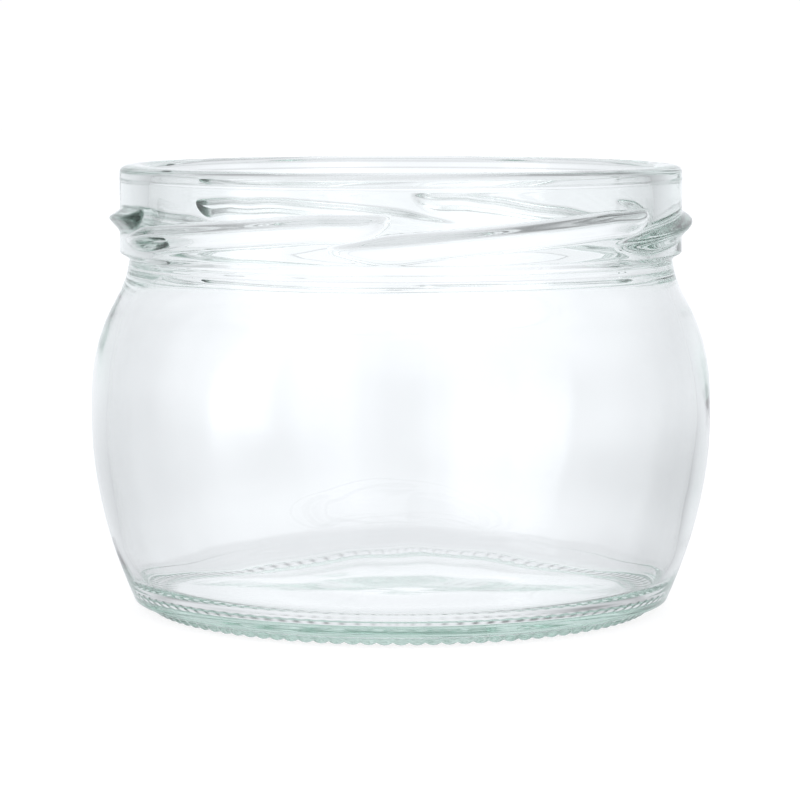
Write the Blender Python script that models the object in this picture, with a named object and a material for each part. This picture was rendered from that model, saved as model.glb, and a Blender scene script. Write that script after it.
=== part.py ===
"""Preserving jar for a twist-off closure: one piece of clear glass.

Units are metres, +Z is up, and the origin is on the table under the middle of the jar.
The jar is a turned wall, with six thread leads added round the neck and a knurl cut
into the ring that it stands on.
"""

import math

import bmesh
import bpy
from mathutils import Vector
from mathutils.geometry import interpolate_bezier

# Whole jar
JAR_HEIGHT = 0.0630
TURN_STEPS = 72

# Threaded neck ring, called the finish, and the lip on top of it
FINISH_RADIUS = 0.03975
FINISH_HEIGHT = 0.0124
FINISH_WALL = 0.00415
MOUTH_BLEND = 0.0015
LIP_OUTER_ROUND = 0.0009
LIP_INNER_ROUND = 0.0006
LEDGE_STEP = 0.0013
LEDGE_DROP = 0.0007

# Thread leads, with levels above the ledge
LEAD_COUNT = 6
LEAD_SPAN = math.radians(70.1)
LEAD_FIRST_START = math.radians(-12.8)
LEAD_HEIGHT = 0.0015
LEAD_CREST_WIDTH = 0.0004
LEAD_TOP_SLOPE = 0.62
LEAD_BOTTOM_SLOPE = 1.05
LEAD_START_SPREAD = 0.50
LEAD_START_LEVEL = 0.0023
LEAD_RISE = 0.00385
LEAD_TOP_LEVEL = 0.0066
LEAD_ROOT = 0.0008
LEAD_START_RAMP = math.radians(14.0)
LEAD_SPREAD_RAMP = math.radians(30.0)
LEAD_END_RAMP = math.radians(7.0)
LEAD_STEP = math.radians(3.5)

# Outside of the body: the heel is a sharp edge, with a knurled bevel below it
BELLY_RADIUS = 0.04395
BELLY_LEVEL = 0.0283
FOOT_RADIUS = 0.0354
FOOT_LAND = 0.0018
BEVEL_WIDTH = 0.0026
HEEL_LEVEL = 0.0015
RECESS = 0.0005
RECESS_BLEND = 0.0036
PUSH_UP = 0.0013
PUSH_UP_START = 0.0180
PUSH_UP_RADIUS = 0.0060

# Inside of the jar; near the floor its distances are from the heel, inwards or outwards
NECK_WALL = 0.0027
SHOULDER_WALL = 0.0023
BELLY_WALL = 0.0021
FLOOR_LEVEL = 0.0034
FLOOR_INWARD = 0.0032
CORNER_LEVEL = 0.0051
CORNER_INWARD = 0.0007
LOWER_WALL_LEVEL = 0.0103
LOWER_WALL_OUTWARD = 0.0009

# The shoulder bends at this share of the way from belly to neck
SHOULDER_RADIUS_SHARE = 0.373
SHOULDER_LEVEL_SHARE = 0.583

# Directions of the outline where the curves meet, above the horizontal and outwards
NECK_HEADING = math.radians(100.0)
SHOULDER_HEADING = math.radians(112.7)
BELLY_HEADING = math.radians(90.0)
LOWER_WALL_HEADING = math.radians(75.0)
HEEL_HEADING = math.radians(66.0)
CORNER_HEADING = math.radians(64.0)
FOOT_HEADING = math.radians(30.0)
HANDLE_SHARE = 0.36

# Knurl on the bearing ring and the bevel
RIB_COUNT = 110
RIB_GAP = 0.0010
GROOVE_DEPTH = 0.0003
SMOOTH_BAND = 0.0006
CUT_OVERRUN = 0.0005


# Places that follow from the sizes
ledge_level = JAR_HEIGHT - FINISH_HEIGHT
neck_level = ledge_level - LEDGE_DROP
neck_radius = FINISH_RADIUS - LEDGE_STEP
mouth_radius = FINISH_RADIUS - FINISH_WALL
shoulder_radius = BELLY_RADIUS + (neck_radius - BELLY_RADIUS) * SHOULDER_RADIUS_SHARE
shoulder_level = BELLY_LEVEL + (neck_level - BELLY_LEVEL) * SHOULDER_LEVEL_SHARE
bearing_inner = FOOT_RADIUS - FOOT_LAND
recess_radius = bearing_inner - RECESS_BLEND
heel_radius = FOOT_RADIUS + BEVEL_WIDTH
floor_radius = heel_radius - FLOOR_INWARD
corner_radius = heel_radius - CORNER_INWARD
lower_wall_radius = heel_radius + LOWER_WALL_OUTWARD


def clear_scene():
    for old in list(bpy.data.objects):
        bpy.data.objects.remove(old, do_unlink=True)


def glass_material():
    glass = bpy.data.materials.new("clear_glass")
    glass.use_nodes = True
    shader = glass.node_tree.nodes["Principled BSDF"]
    shader.inputs["Base Color"].default_value = (0.90, 0.96, 0.94, 1.0)
    shader.inputs["Roughness"].default_value = 0.03
    shader.inputs["Metallic"].default_value = 0.0
    shader.inputs["IOR"].default_value = 1.52
    shader.inputs["Transmission Weight"].default_value = 1.0
    return glass


def curve_through(knots, steps):
    """Points of a smooth outline through knots of radius, level and heading."""
    points = [Vector((knots[0][0], 0.0, knots[0][1]))]
    for index, count in enumerate(steps):
        (radius_a, level_a, heading_a), (radius_b, level_b, heading_b) = knots[index : index + 2]
        start = Vector((radius_a, 0.0, level_a))
        end = Vector((radius_b, 0.0, level_b))
        reach = (end - start).length * HANDLE_SHARE
        leave = Vector((math.cos(heading_a), 0.0, math.sin(heading_a))) * reach
        arrive = Vector((math.cos(heading_b), 0.0, math.sin(heading_b))) * reach
        span = interpolate_bezier(start, start + leave, end - arrive, end, count + 1)
        points.extend(span[1:])
    return points


def quarter_round(centre_radius, centre_level, size, first_angle, last_angle, count):
    """Points on an arc in the plane of the profile."""
    points = []
    for index in range(count + 1):
        angle = first_angle + (last_angle - first_angle) * index / count
        radius = centre_radius + size * math.cos(angle)
        level = centre_level + size * math.sin(angle)
        points.append(Vector((radius, 0.0, level)))
    return points


def inner_outline():
    """From the middle of the floor, up the inside, to the foot of the lip's round."""
    inner_belly = BELLY_RADIUS - BELLY_WALL
    inner_shoulder = shoulder_radius - SHOULDER_WALL
    inner_neck = neck_radius - NECK_WALL
    knots = [
        (0.0, FLOOR_LEVEL, 0.0),
        (floor_radius, FLOOR_LEVEL, 0.0),
        (corner_radius, CORNER_LEVEL, CORNER_HEADING),
        (lower_wall_radius, LOWER_WALL_LEVEL, LOWER_WALL_HEADING),
        (inner_belly, BELLY_LEVEL, BELLY_HEADING),
        (inner_shoulder, shoulder_level, SHOULDER_HEADING),
        (inner_neck, neck_level, NECK_HEADING),
        (mouth_radius, ledge_level + MOUTH_BLEND, BELLY_HEADING),
    ]
    return curve_through(knots, (2, 3, 2, 4, 3, 3, 1))


def lip_outline():
    """Over the lip from the inside to the outside, with the flat sealing land between."""
    inner_centre = mouth_radius + LIP_INNER_ROUND
    outer_centre = FINISH_RADIUS - LIP_OUTER_ROUND
    inner = quarter_round(
        inner_centre, JAR_HEIGHT - LIP_INNER_ROUND, LIP_INNER_ROUND, math.pi, math.pi / 2, 2
    )
    outer = quarter_round(
        outer_centre, JAR_HEIGHT - LIP_OUTER_ROUND, LIP_OUTER_ROUND, math.pi / 2, 0.0, 2
    )
    return inner + outer


def outer_outline():
    """From the ledge under the finish, down the outside, to the middle underneath."""
    ledge = [Vector((FINISH_RADIUS, 0.0, ledge_level))]
    knots = [
        (heel_radius, HEEL_LEVEL, HEEL_HEADING),
        (BELLY_RADIUS, BELLY_LEVEL, BELLY_HEADING),
        (shoulder_radius, shoulder_level, SHOULDER_HEADING),
        (neck_radius, neck_level, NECK_HEADING),
    ]
    body = curve_through(knots, (7, 3, 3))
    foot = [Vector((FOOT_RADIUS, 0.0, 0.0))]
    push_up = curve_through(
        [
            (bearing_inner, 0.0, math.pi - FOOT_HEADING),
            (recess_radius, RECESS, math.pi),
            (PUSH_UP_START, RECESS, math.pi),
            (PUSH_UP_RADIUS, PUSH_UP, math.pi),
            (0.0, PUSH_UP, math.pi),
        ],
        (2, 1, 3, 1),
    )
    return ledge + body[::-1] + foot + push_up


def turned_body(material):
    """The wall of the jar: one profile turned about the vertical axis."""
    profile = inner_outline() + lip_outline() + outer_outline()
    mesh = bpy.data.meshes.new("glass_jar")
    edges = [(index, index + 1) for index in range(len(profile) - 1)]
    mesh.from_pydata(profile, edges, [])
    jar = bpy.data.objects.new("glass_jar", mesh)
    bpy.context.scene.collection.objects.link(jar)
    mesh.materials.append(material)

    turn = jar.modifiers.new("turn", "SCREW")
    turn.axis = "Z"
    turn.steps = TURN_STEPS
    turn.render_steps = TURN_STEPS
    turn.use_merge_vertices = True
    turn.merge_threshold = 0.00001
    turn.use_smooth_shade = True
    return jar


def guide_object(name, bm):
    """An object that only shapes the jar through a Boolean."""
    bmesh.ops.recalc_face_normals(bm, faces=bm.faces)
    mesh = bpy.data.meshes.new(name)
    bm.to_mesh(mesh)
    bm.free()
    guide = bpy.data.objects.new(name, mesh)
    bpy.context.scene.collection.objects.link(guide)
    guide.hide_render = True
    guide.display_type = "WIRE"
    return guide


def loft_sections(bm, sections):
    """A closed body through sections that all have the same number of corners."""
    rings = [[bm.verts.new(corner) for corner in section] for section in sections]
    for ring, following in zip(rings, rings[1:]):
        for index in range(len(ring)):
            other = (index + 1) % len(ring)
            bm.faces.new((ring[index], ring[other], following[other], following[index]))
    bm.faces.new(rings[0])
    bm.faces.new(rings[-1][::-1])


def around(radius, angle, level):
    """A point on the jar; the angle runs from the front, where -Y is, towards +X."""
    return Vector((radius * math.sin(angle), -radius * math.cos(angle), level))


def ramp(travel, length):
    """Rises smoothly from zero to one over a length, and stays there."""
    share = min(max(travel / length, 0.0), 1.0)
    return math.sin(share * math.pi / 2)


def lead_section(start_angle, travel):
    """Four corners of a lead's section: its crest, and its flanks run on into the wall."""
    shown = ramp(travel, LEAD_START_RAMP) * ramp(LEAD_SPAN - travel, LEAD_END_RAMP)
    root_radius = FINISH_RADIUS - LEAD_ROOT
    half_root = LEAD_ROOT / 2
    crest_radius = root_radius + half_root + (half_root + LEAD_HEIGHT) * shown
    depth = crest_radius - root_radius
    half_crest = LEAD_CREST_WIDTH / 2
    climbing = LEAD_START_LEVEL + LEAD_RISE * travel / LEAD_SPAN
    highest = LEAD_TOP_LEVEL - half_crest - (depth - LEAD_ROOT) * LEAD_TOP_SLOPE
    level = ledge_level + min(climbing, highest)
    under_slope = LEAD_BOTTOM_SLOPE + LEAD_START_SPREAD * (1.0 - ramp(travel, LEAD_SPREAD_RAMP))
    angle = start_angle + travel
    return (
        around(root_radius, angle, level + half_crest + depth * LEAD_TOP_SLOPE),
        around(crest_radius, angle, level + half_crest),
        around(crest_radius, angle, level - half_crest),
        around(root_radius, angle, level - half_crest - depth * under_slope),
    )


def thread_leads():
    """Six ridges that the lugs of the closure run under; they climb to the right."""
    bm = bmesh.new()
    steps = round(LEAD_SPAN / LEAD_STEP)
    for number in range(LEAD_COUNT):
        start_angle = LEAD_FIRST_START + number * 2 * math.pi / LEAD_COUNT
        travels = [LEAD_SPAN * index / steps for index in range(steps + 1)]
        loft_sections(bm, [lead_section(start_angle, travel) for travel in travels])
    return guide_object("thread_leads", bm)


def bevel_level(radius):
    """Height of the bevel above the table."""
    return HEEL_LEVEL * (radius - FOOT_RADIUS) / BEVEL_WIDTH


def knurl_grooves():
    """V grooves across the bearing ring and up the bevel, which end short of the heel."""
    bm = bmesh.new()
    half_gap = RIB_GAP / 2
    widening = (GROOVE_DEPTH + CUT_OVERRUN) / GROOVE_DEPTH
    shallow_radius = heel_radius - SMOOTH_BAND
    deep_radius = shallow_radius - SMOOTH_BAND
    stations = (
        (bearing_inner + SMOOTH_BAND, 0.0, 0.0),
        (bearing_inner + SMOOTH_BAND * 2, GROOVE_DEPTH, 0.0),
        (FOOT_RADIUS, GROOVE_DEPTH, 0.0),
        (deep_radius, bevel_level(deep_radius) + GROOVE_DEPTH, bevel_level(deep_radius)),
        (shallow_radius, bevel_level(shallow_radius), bevel_level(shallow_radius)),
    )
    for number in range(RIB_COUNT):
        angle = (number + 1 / 2) * 2 * math.pi / RIB_COUNT
        sections = []
        for radius, top, bottom in stations:
            lean = half_gap * widening / radius
            sections.append(
                (
                    around(radius, angle, top),
                    around(radius, angle - lean, bottom - CUT_OVERRUN),
                    around(radius, angle + lean, bottom - CUT_OVERRUN),
                )
            )
        loft_sections(bm, sections)
    return guide_object("knurl_grooves", bm)


def combine(jar, guide, operation):
    joint = jar.modifiers.new(guide.name, "BOOLEAN")
    joint.operation = operation
    joint.solver = "EXACT"
    joint.object = guide


clear_scene()
glass_jar = turned_body(glass_material())
combine(glass_jar, thread_leads(), "UNION")
combine(glass_jar, knurl_grooves(), "DIFFERENCE")
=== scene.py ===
import math

import bpy
import numpy as np
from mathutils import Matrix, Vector


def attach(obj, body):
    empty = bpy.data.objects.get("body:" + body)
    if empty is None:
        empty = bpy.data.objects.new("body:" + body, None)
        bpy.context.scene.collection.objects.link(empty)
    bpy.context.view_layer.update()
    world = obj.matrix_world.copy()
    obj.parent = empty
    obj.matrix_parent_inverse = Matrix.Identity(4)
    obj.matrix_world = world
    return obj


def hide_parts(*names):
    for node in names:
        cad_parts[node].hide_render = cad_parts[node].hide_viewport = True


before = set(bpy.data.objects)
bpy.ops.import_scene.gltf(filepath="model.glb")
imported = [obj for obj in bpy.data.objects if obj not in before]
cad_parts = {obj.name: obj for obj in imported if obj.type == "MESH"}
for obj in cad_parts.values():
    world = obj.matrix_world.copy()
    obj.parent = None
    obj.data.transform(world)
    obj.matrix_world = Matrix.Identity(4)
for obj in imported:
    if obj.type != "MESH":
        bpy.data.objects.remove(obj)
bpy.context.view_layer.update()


# Camera
# A long lens about half a metre from the jar and a little above its lip, looking slightly down,
# so that the lip and the foot show as narrow ellipses.
camera_distance = 0.4859
camera_height = 0.0784
camera_sideways = -0.00013
camera_tilt = math.radians(5.763)
lens_length = 154.1
sensor_width = 36.0
nearest_seen = 0.01

bpy.ops.object.select_all(action="DESELECT")
bpy.ops.object.camera_add(
    location=(camera_sideways, -camera_distance, camera_height),
    rotation=(math.pi / 2 - camera_tilt, 0.0, 0.0),
)
camera = bpy.context.object
camera.name = "camera"
camera.data.lens = lens_length
camera.data.sensor_width = sensor_width
camera.data.clip_start = nearest_seen
bpy.context.scene.camera = camera


# Glass jar: the wall
# One gob of soda-lime glass, pressed and then blown out in an iron mould. The half section is
# drawn as a curve, from the middle of the floor up the inside, over the lip, down the outside
# and under the foot, and is then spun round.
MM = 0.001
jar_height = 63.0 * MM
ledge_level = 50.6 * MM
finish_radius = 39.75 * MM
mouth_radius = 35.6 * MM
neck_radius = 38.45 * MM
belly_radius = 43.95 * MM
belly_level = 28.3 * MM
shoulder_radius = 41.9 * MM
shoulder_level = 40.9 * MM
band_low = 50.8 * MM
band_high = 58.6 * MM
floor_level = 3.2 * MM
recess = 0.5 * MM
push_up = 1.3 * MM
belly_wall = 2.1 * MM
shoulder_wall = 2.3 * MM
neck_wall = 2.7 * MM
joint_height = 0.04 * MM
handle_share = 0.36

# Radius, level, and heading on the way in and on the way out in degrees above the horizontal.
# The three knots close together at the levels 61 and 48.6 are the joints of the mould, and the
# two at the level 4.9 are a narrow step inside, where the corner of the floor ends.
section_knots = [
    (0.0, floor_level, 0, 0),
    (34.8 * MM, floor_level, 0, 0),
    (37.2 * MM, 4.85 * MM, 62, 30),
    (37.42 * MM, 4.98 * MM, 30, 66),
    (39.2 * MM, 10.2 * MM, 75.5, 75.5),
    (belly_radius - belly_wall, belly_level, 90, 90),
    (shoulder_radius - shoulder_wall, shoulder_level, 112.7, 112.7),
    (neck_radius - neck_wall, 49.9 * MM, 100, 100),
    (mouth_radius, 52.1 * MM, 90, 90),
    (mouth_radius, 62.1 * MM, 90, 84),
    (35.95 * MM, 62.6 * MM, 48, 42),
    (36.6 * MM, 62.87 * MM, 14, 14),
    (37.7 * MM, jar_height, 0, 0),
    (38.85 * MM, 62.88 * MM, -14, -14),
    (finish_radius, 62.0 * MM, -90, -90),
    (finish_radius, 61.12 * MM, -90, -60),
    (finish_radius + joint_height, 61.0 * MM, -90, -90),
    (finish_radius, 60.88 * MM, -120, -90),
    (finish_radius, band_high, -90, -90),
    (finish_radius, band_low, -90, -90),
    (39.55 * MM, 50.55 * MM, -148, -148),
    (38.75 * MM, 50.05 * MM, -148, -140),
    (neck_radius, 49.5 * MM, -82, -82),
    (38.59 * MM, 48.72 * MM, -81, -50),
    (38.66 * MM, 48.6 * MM, -81, -81),
    (38.63 * MM, 48.48 * MM, -112, -80),
    (shoulder_radius, shoulder_level, -67.3, -67.3),
    (belly_radius, belly_level, -90, -90),
    (42.74 * MM, 15.78 * MM, -101.6, -101.6),
    (39.0 * MM, 3.75 * MM, -112, -112),
    (38.1 * MM, 1.6 * MM, -112, -150),
    (37.85 * MM, 1.47 * MM, -163, -165),
    (36.9 * MM, 1.2 * MM, -165, -143),
    (35.5 * MM, 0.1 * MM, -143, -160),
    (34.7 * MM, 0.0, 180, 180),
    (33.6 * MM, 0.3 * MM, 150, 150),
    (30.0 * MM, recess, 180, 180),
    (18.0 * MM, recess, 180, 180),
    (6.0 * MM, push_up, 180, 180),
    (0.0, push_up, 180, 180),
]
span_rows = 5
band_cuts = 8
spin_steps = 408
near = 0.005 * MM
merge_within = 0.002 * MM

bpy.ops.object.select_all(action="DESELECT")
bpy.ops.curve.primitive_bezier_curve_add(location=(0.0, 0.0, 0.0))
section = bpy.context.object
section.data.resolution_u = span_rows
line = section.data.splines[0]
line.bezier_points.add(len(section_knots) - len(line.bezier_points))
for index, (radius, level, way_in, way_out) in enumerate(section_knots):
    point = line.bezier_points[index]
    point.handle_left_type = "FREE"
    point.handle_right_type = "FREE"
    here = Vector((radius, 0.0, level))
    before = section_knots[max(index - 1, 0)]
    after = section_knots[min(index + 1, len(section_knots) - 1)]
    reach_in = (here - Vector((before[0], 0.0, before[1]))).length * handle_share
    reach_out = (Vector((after[0], 0.0, after[1])) - here).length * handle_share
    turn_in = math.radians(way_in)
    turn_out = math.radians(way_out)
    point.co = here
    point.handle_left = here - Vector((math.cos(turn_in), 0.0, math.sin(turn_in))) * reach_in
    point.handle_right = here + Vector((math.cos(turn_out), 0.0, math.sin(turn_out))) * reach_out
bpy.ops.object.convert(target="MESH")
jar = bpy.context.object

# More rows on the threaded band, where the leads are raised
bpy.ops.object.mode_set(mode="EDIT")
bpy.ops.mesh.select_mode(type="EDGE")
bpy.ops.mesh.select_all(action="DESELECT")
bpy.ops.object.mode_set(mode="OBJECT")
for edge in jar.data.edges:
    ends = [jar.data.vertices[index].co for index in edge.vertices]
    on_band = all(abs(end.x - finish_radius) < near for end in ends)
    edge.select = on_band and all(band_low - near < end.z < band_high + near for end in ends)
bpy.ops.object.mode_set(mode="EDIT")
bpy.ops.mesh.subdivide(number_cuts=band_cuts)
bpy.ops.mesh.select_all(action="SELECT")
bpy.ops.mesh.spin(
    steps=spin_steps, angle=2 * math.pi, center=(0.0, 0.0, 0.0), axis=(0.0, 0.0, 1.0)
)
bpy.ops.mesh.select_all(action="SELECT")
bpy.ops.mesh.remove_doubles(threshold=merge_within)
bpy.ops.mesh.normals_make_consistent(inside=False)
bpy.ops.object.mode_set(mode="OBJECT")
jar.name = "glass_jar_wall"
jar.data.name = "glass_jar_wall"

places = np.zeros(len(jar.data.vertices) * 3)
jar.data.vertices.foreach_get("co", places)
places = places.reshape(-1, 3)
radii = np.hypot(places[:, 0], places[:, 1])
angles = np.arctan2(places[:, 0], -places[:, 1])
levels = places[:, 2].copy()


def smooth_least(first, second, width):
    """The smaller of two values, rounded where they meet."""
    blend_in = np.clip(0.5 + 0.5 * (second - first) / width, 0.0, 1.0)
    return second + (first - second) * blend_in - width * blend_in * (1.0 - blend_in)


def ease(value):
    """From 0 to 1 with a soft start and a soft end."""
    held = np.clip(value, 0.0, 1.0)
    return held * held * (3.0 - 2.0 * held)


# Thread leads
# Six short ridges moulded on the band, each starting as a thin wedge near the ledge and
# climbing to the right. The end is blunt: its lower side sweeps up to meet the upper one.
# Angles run from the front to the right.
lead_count = 6
lead_span = math.radians(69.6)
lead_first = math.radians(-12.8)
lead_rise = 3.85 * MM
lead_low = ledge_level + 2.3 * MM
lead_top = 57.2 * MM
lead_height = 1.5 * MM
crest_half = 0.2 * MM
top_slope = 0.62
bottom_slope = 1.05
wide_slope = 0.35
crest_round = 0.35 * MM
foot_round = 0.5 * MM
wedge_span = math.radians(14.0)
wide_span = math.radians(30.0)
blunt_span = math.radians(7.0)

raised = np.zeros(len(levels))
for number in range(lead_count):
    start = lead_first + number * 2 * math.pi / lead_count
    travel = np.mod(angles - start + math.pi, 2 * math.pi) - math.pi
    shown = np.sin(np.clip(travel / wedge_span, 0.0, 1.0) * math.pi / 2)
    into_end = np.clip((travel - lead_span + blunt_span) / blunt_span, 0.0, 1.0)
    shown *= np.sqrt(1.0 - into_end**2)
    tall = (lead_height + foot_round / 4) * shown - foot_round / 4
    crest = lead_low + lead_rise * travel / lead_span
    crest = np.minimum(crest, lead_top - crest_half - np.maximum(tall, 0.0) * top_slope)
    under = bottom_slope + wide_slope * (1.0 - ease(travel / wide_span))
    above = tall - (levels - crest - crest_half) / top_slope
    below = tall + (levels - crest + crest_half) / under
    ridge = smooth_least(above, below, crest_round)
    ridge = smooth_least(ridge, tall, crest_round)
    ridge = -smooth_least(-ridge, np.zeros(len(levels)), foot_round)
    ridge[shown <= 0.0] = 0.0
    raised = np.maximum(raised, ridge)
on_band = (np.abs(radii - finish_radius) < near) & (levels > band_low) & (levels < band_high)
new_radii = radii + np.where(on_band, raised, 0.0)


# Knurl on the foot
# Short round ribs across the ring that the jar stands on and up the bevel outside it, with
# narrow notches between them. They hold the hot glass off the belt that takes it from the mould.
rib_count = 102
rib_height = 0.34 * MM
knurl_top = 1.4 * MM
knurl_inner = 33.0 * MM
knurl_inner_fade = 1.0 * MM
knurl_outer = 37.3 * MM
knurl_outer_fade = 0.6 * MM

fade = ease((radii - knurl_inner) / knurl_inner_fade)
fade *= ease((knurl_outer - radii) / knurl_outer_fade)
notch = (0.5 - 0.5 * np.cos(angles * rib_count)) ** 2
new_levels = levels + np.where(levels < knurl_top, rib_height * notch * fade, 0.0)


# Uneven glass
# The iron shapes the outside. The inside is shaped by air, so it swells and thins gently, less
# so in the mouth, where a plunger shapes it.
floor_middle = 2.2 * MM
wall_middle_levels = [2.5 * MM, 5 * MM, 10 * MM, 28 * MM, 41 * MM, 50 * MM, jar_height]
wall_middle_radii = [35 * MM, 38.2 * MM, 40 * MM, 42.9 * MM, 40.7 * MM, 37.2 * MM, 37.2 * MM]
wave_count = 24
wave_seed = 7
wave_height = 0.12 * MM
most_waves_around = 8
shortest_climb_mm = 12.0
longest_climb_mm = 40.0
mouth_level = 50 * MM
mouth_blend = 10 * MM
mouth_calm_share = 0.8
corner_start = 0.5 * MM
corner_rise = 4.0 * MM

inside = radii < np.interp(levels, wall_middle_levels, wall_middle_radii)
inside &= levels > floor_middle
waves = np.random.default_rng(wave_seed)
swell = np.zeros(len(levels))
for number in range(wave_count):
    around_count = waves.integers(1, most_waves_around + 1)
    climb_length = waves.uniform(shortest_climb_mm, longest_climb_mm) * MM
    phase = waves.uniform(0.0, 2 * math.pi)
    swell += np.sin(around_count * angles + levels / climb_length * 2 * math.pi + phase) / (
        math.sqrt(wave_count) * (1 + around_count / 4)
    )
calm = 1.0 - ease((levels - mouth_level) / mouth_blend) * mouth_calm_share
inner_shift = np.where(inside, swell * wave_height * calm, 0.0)
upright = ease((levels - floor_level - corner_start) / corner_rise)
new_radii += inner_shift * upright
new_levels += inner_shift * (1.0 - upright)

turned = new_radii / np.maximum(radii, near)
places[:, 0] *= turned
places[:, 1] *= turned
places[:, 2] = new_levels
jar.data.vertices.foreach_set("co", places.reshape(-1))
jar.data.update()
for face in jar.data.polygons:
    face.use_smooth = True


# Clear glass
# Soda-lime glass with a bright, very slightly uneven skin. Its faint green shows only where the
# light travels far inside it, most of all in the foot.
glass = bpy.data.materials.new("clear_glass")
glass.use_nodes = True
nodes = glass.node_tree.nodes
links = glass.node_tree.links
shader = nodes["Principled BSDF"]
shader.inputs["Base Color"].default_value = (1.0, 1.0, 1.0, 1.0)
shader.inputs["Roughness"].default_value = 0.0
shader.inputs["IOR"].default_value = 1.52
shader.inputs["Transmission Weight"].default_value = 1.0
where = nodes.new("ShaderNodeTexCoord")
skin = nodes.new("ShaderNodeTexNoise")
skin.inputs["Scale"].default_value = 90.0
skin.inputs["Detail"].default_value = 1.0
press = nodes.new("ShaderNodeBump")
press.inputs["Strength"].default_value = 0.25
press.inputs["Distance"].default_value = 0.0003
links.new(where.outputs["Object"], skin.inputs["Vector"])
links.new(skin.outputs["Fac"], press.inputs["Height"])
links.new(press.outputs["Normal"], shader.inputs["Normal"])
tint = nodes.new("ShaderNodeVolumeAbsorption")
tint.inputs["Color"].default_value = (0.46, 0.66, 0.58, 1.0)
tint.inputs["Density"].default_value = 14.0
links.new(tint.outputs["Volume"], nodes["Material Output"].inputs["Volume"])
jar.data.materials.append(glass)
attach(jar, "root")
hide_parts("glass_jar")


# Floor
# A plain white table top that runs out of sight. It glows a little, as white card does on a
# light table. In the glass the pale room shows in its place, so no edge of it is seen there.
floor_size = 6.0

bpy.ops.object.select_all(action="DESELECT")
bpy.ops.mesh.primitive_plane_add(size=floor_size, location=(0.0, 0.0, 0.0))
floor = bpy.context.object
floor.name = "floor"
floor.visible_glossy = False
floor.visible_transmission = False
paper = bpy.data.materials.new("white_table")
paper.use_nodes = True
card = paper.node_tree.nodes["Principled BSDF"]
card.inputs["Base Color"].default_value = (0.30, 0.30, 0.30, 1.0)
card.inputs["Roughness"].default_value = 0.9
card.inputs["Specular IOR Level"].default_value = 0.0
card.inputs["Emission Color"].default_value = (1.0, 1.0, 1.0, 1.0)
card.inputs["Emission Strength"].default_value = 0.80
floor.data.materials.append(paper)


# Studio light
# A pale room with dark corners beside the jar, which draw the lines in the glass, two soft boxes,
# and a plain white backdrop wherever the room would be seen directly. The light is followed
# through many turns inside the glass, because thick glass looks black where it is cut short.
room_strength = 2.0
backdrop = 1.02
most_turns = 40

world = bpy.data.worlds.new("pale_room")
bpy.context.scene.world = world
world.use_nodes = True
sky = world.node_tree.nodes
wires = world.node_tree.links
facing = sky.new("ShaderNodeTexCoord")
parts = sky.new("ShaderNodeSeparateXYZ")
toward_front = sky.new("ShaderNodeMath")
toward_front.operation = "MULTIPLY"
toward_front.inputs[1].default_value = -1.0
azimuth = sky.new("ShaderNodeMath")
azimuth.operation = "ARCTAN2"
way_round = sky.new("ShaderNodeMapRange")
way_round.inputs["From Min"].default_value = -math.pi
way_round.inputs["From Max"].default_value = math.pi
wires.new(facing.outputs["Generated"], parts.inputs["Vector"])
wires.new(parts.outputs["Y"], toward_front.inputs[0])
wires.new(parts.outputs["X"], azimuth.inputs[0])
wires.new(toward_front.outputs["Value"], azimuth.inputs[1])
wires.new(azimuth.outputs["Value"], way_round.inputs["Value"])


def grey(value):
    """The room's colour for a brightness, before the room's strength multiplies it."""
    shade = value / room_strength
    return (shade, shade, shade, 1.0)


def walls(stops):
    """The brightness of the walls by degrees from the camera's side to the right."""
    ramp = sky.new("ShaderNodeValToRGB")
    ramp.color_ramp.interpolation = "EASE"
    elements = ramp.color_ramp.elements
    for degrees, bright in stops[1:-1]:
        elements.new(degrees / 360 + 0.5).color = grey(bright)
    elements[0].color = grey(stops[0][1])
    elements[len(elements) - 1].color = grey(stops[-1][1])
    wires.new(way_round.outputs["Result"], ramp.inputs["Fac"])
    return ramp.outputs["Color"]


def rising(lower, upper, start, end):
    """From one brightness to another as the direction rises; level is 0, straight up is 1."""
    share = sky.new("ShaderNodeMapRange")
    share.interpolation_type = "SMOOTHSTEP"
    share.inputs["From Min"].default_value = start
    share.inputs["From Max"].default_value = end
    mix = sky.new("ShaderNodeMix")
    mix.data_type = "RGBA"
    wires.new(parts.outputs["Z"], share.inputs["Value"])
    wires.new(share.outputs["Result"], mix.inputs["Factor"])
    for value, socket in ((lower, mix.inputs["A"]), (upper, mix.inputs["B"])):
        if isinstance(value, float):
            socket.default_value = grey(value)
        else:
            wires.new(value, socket)
    return mix.outputs["Result"]


low_walls = walls([
    (-180, 0.88), (-155, 0.35), (-130, 0.85), (-105, 0.65), (-62, 1.1), (-25, 0.75), (5, 1.0),
    (25, 1.1), (50, 0.90), (80, 0.80), (116, 0.30), (136, 0.70), (158, 0.25), (180, 0.88),
])
sloping_walls = walls([
    (-180, 0.84), (-155, 0.76), (-130, 0.55), (-92, 0.60), (-62, 0.95), (-20, 0.50), (4, 0.35),
    (13, 0.85), (24, 1.9), (36, 1.7), (48, 0.90), (64, 0.40), (98, 0.45), (116, 0.15),
    (140, 0.55), (158, 0.82), (180, 0.84),
])
level_walls = walls([
    (-180, 1.10), (-168, 1.00), (-150, 0.86), (-115, 0.58), (-90, 0.75), (-77, 0.95),
    (-71, 2.4), (-54, 2.3), (-46, 1.0), (-20, 0.75), (4, 0.60), (13, 1.1), (24, 1.9),
    (38, 1.7), (50, 0.85), (64, 0.45), (82, 1.0), (116, 0.55), (150, 0.86), (170, 1.00),
    (180, 1.10),
])
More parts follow.
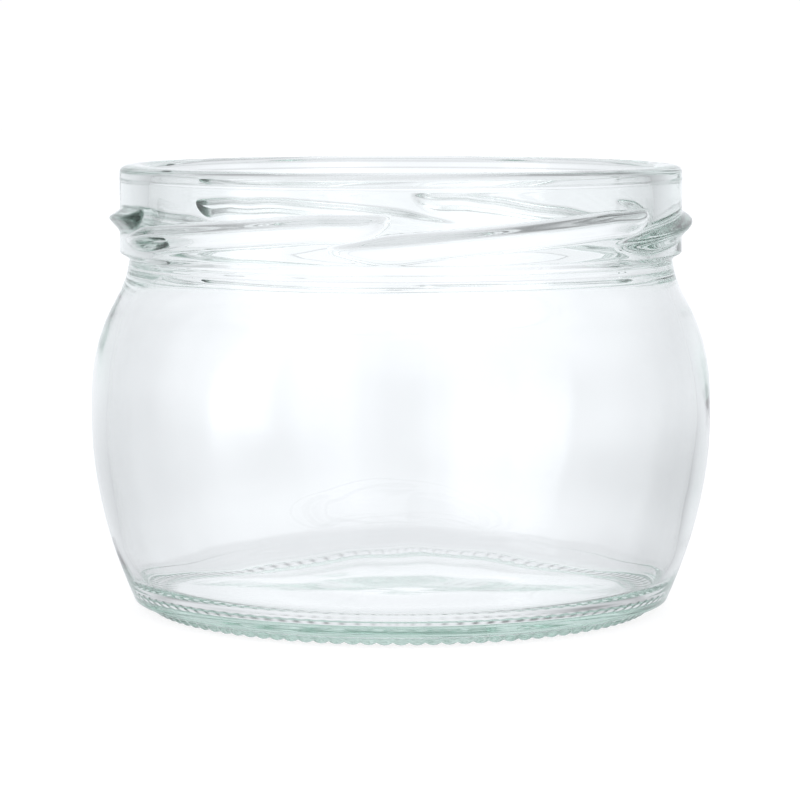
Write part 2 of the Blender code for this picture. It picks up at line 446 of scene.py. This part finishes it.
high_walls = walls([
    (-180, 1.15), (-130, 0.85), (-90, 1.1), (-75, 1.5), (-60, 2.2), (-45, 1.3), (-20, 1.0),
    (8, 1.5), (25, 1.9), (45, 1.4), (70, 1.1), (110, 0.90), (140, 0.88), (180, 1.15),
])
brightness_below = 0.95
brightness_above = 0.70
brightness = rising(brightness_below, low_walls, -0.95, -0.65)
brightness = rising(brightness, sloping_walls, -0.50, -0.40)
brightness = rising(brightness, level_walls, -0.24, -0.03)
brightness = rising(brightness, high_walls, 0.15, 0.50)
brightness = rising(brightness, brightness_above, 0.75, 0.95)
cool = sky.new("ShaderNodeMix")
cool.data_type = "RGBA"
cool.blend_type = "MULTIPLY"
cool.inputs["Factor"].default_value = 1.0
cool.inputs["B"].default_value = (0.965, 0.985, 1.02, 1.0)
seen = sky.new("ShaderNodeLightPath")
ground = sky.new("ShaderNodeMix")
ground.data_type = "RGBA"
ground.inputs["B"].default_value = grey(backdrop)
room = sky["Background"]
room.inputs["Strength"].default_value = room_strength
wires.new(brightness, cool.inputs["A"])
wires.new(cool.outputs["Result"], ground.inputs["A"])
wires.new(seen.outputs["Is Camera Ray"], ground.inputs["Factor"])
wires.new(ground.outputs["Result"], room.inputs["Color"])
bpy.context.scene.view_settings.view_transform = "Standard"
bpy.context.scene.cycles.max_bounces = most_turns
bpy.context.scene.cycles.glossy_bounces = most_turns
bpy.context.scene.cycles.transmission_bounces = most_turns


def soft_box(name, degrees, distance, height, width, tall, strength):
    """An upright flat light facing the jar, by degrees from the camera's side to the right.

    It shows as a mirror image on the glass, but not through it.
    """
    turn = math.radians(degrees)
    place = Vector((distance * math.sin(turn), -distance * math.cos(turn), height))
    bpy.ops.object.select_all(action="DESELECT")
    bpy.ops.object.light_add(
        type="AREA", location=place, rotation=(math.pi / 2, 0.0, turn)
    )
    lamp = bpy.context.object
    lamp.name = name
    lamp.data.shape = "RECTANGLE"
    lamp.data.size = width
    lamp.data.size_y = tall
    lamp.data.energy = strength * width * tall
    lamp.visible_camera = False
    lamp.visible_transmission = False


soft_box(
    "left_soft_box", degrees=-61.5, distance=0.9, height=0.60, width=0.30, tall=1.74, strength=0.6
)
soft_box(
    "right_soft_box", degrees=28.0, distance=0.9, height=0.58, width=0.60, tall=1.80, strength=0.6
)
